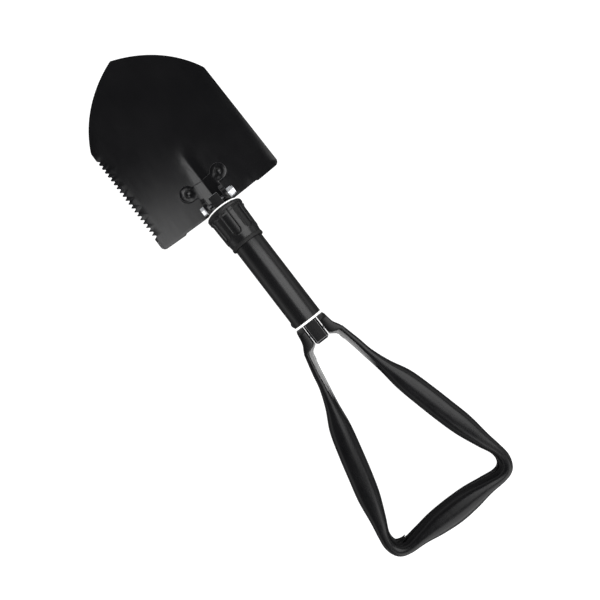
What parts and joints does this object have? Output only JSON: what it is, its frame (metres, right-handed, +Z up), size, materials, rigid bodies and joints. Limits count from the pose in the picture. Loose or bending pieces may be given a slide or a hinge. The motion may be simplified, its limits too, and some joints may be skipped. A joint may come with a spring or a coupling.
{
  "type": "folding camp shovel",
  "caption": "Tri-fold camp shovel: a serrated shield-shaped blade and a triangular grip handle, each folding on a short steel tube locked by a fluted screw collar.",
  "frame": {"origin": "under the middle of the tool's length and width, at the level of the lowest line of the blade's back, with the tool lying open on its back", "axes": "+X across the tool, +Y along the tube towards the blade's tip, +Z up out of the blade's working face"},
  "size_m": [0.1552, 0.5958, 0.0545],
  "materials": {
    "black_paint_blade": "semi-gloss black paint over pressed steel",
    "black_paint_steel": "satin black paint over steel",
    "gloss_black_tube": "gloss black powder coat",
    "black_cast_handle": "satin black powder coat over rolled sheet metal",
    "plain_steel": "plain oiled steel",
    "zinc_steel": "bright zinc plating",
    "black_nylon": "moulded black nylon",
    "white_nylon": "moulded white nylon",
    "pale_nylon": "pale blue nylon insert",
    "black_rubber": "black rubber"
  },
  "bodies": {
    "spine": {"blade_tongue": "black_paint_steel", "handle_lug": "black_paint_steel", "tension_strap": "plain_steel", "tongue_rivets": "plain_steel", "lug_rivets": "plain_steel"},
    "tube": {"shaft_tube": "gloss_black_tube", "threaded_sleeve": "plain_steel", "tube_guide": "black_nylon", "end_bushing": "white_nylon", "bushing_rivet": "gloss_black_tube"},
    "thrust_ring": {"thrust_ring": "white_nylon"},
    "collar": {"locking_collar": "black_nylon", "collar_seal": "black_rubber"},
    "blade": {"blade": "black_paint_blade", "blade_bracket": "black_paint_steel", "bracket_rivets": "black_paint_steel", "hinge_bolt": "zinc_steel", "hinge_washers": "zinc_steel", "hinge_nut": "zinc_steel", "nut_insert": "pale_nylon"},
    "handle": {"handle_frame": "black_cast_handle", "handle_pin": "zinc_steel"}
  },
  "joints": [
    {"name": "tube_slide", "type": "slide", "parent": "spine", "child": "tube", "axis": [0, 1, 0], "range_m": [-0.00035, 0.00035]},
    {"name": "collar_travel", "type": "slide", "parent": "tube", "child": "thrust_ring", "axis": [0, 1, 0], "range_m": [-0.006, 0.0003]},
    {"name": "collar_turn", "type": "hinge", "parent": "thrust_ring", "child": "collar", "pos_m": [0, 0.072, 0.0342], "axis": [0, 1, 0], "range_deg": [-540, 27]},
    {"name": "blade_fold", "type": "hinge", "parent": "spine", "child": "blade", "pos_m": [0, 0.1034, 0.0342], "axis": [1, 0, 0], "range_deg": [0, 180]},
    {"name": "handle_fold", "type": "hinge", "parent": "spine", "child": "handle", "pos_m": [0, -0.0608, 0.0342], "axis": [-1, 0, 0], "range_deg": [0, 180]}
  ],
  "couplings": [
    {"joint": "collar_travel", "follows": "collar_turn", "m_per_rad": 0.00063662}
  ]
}
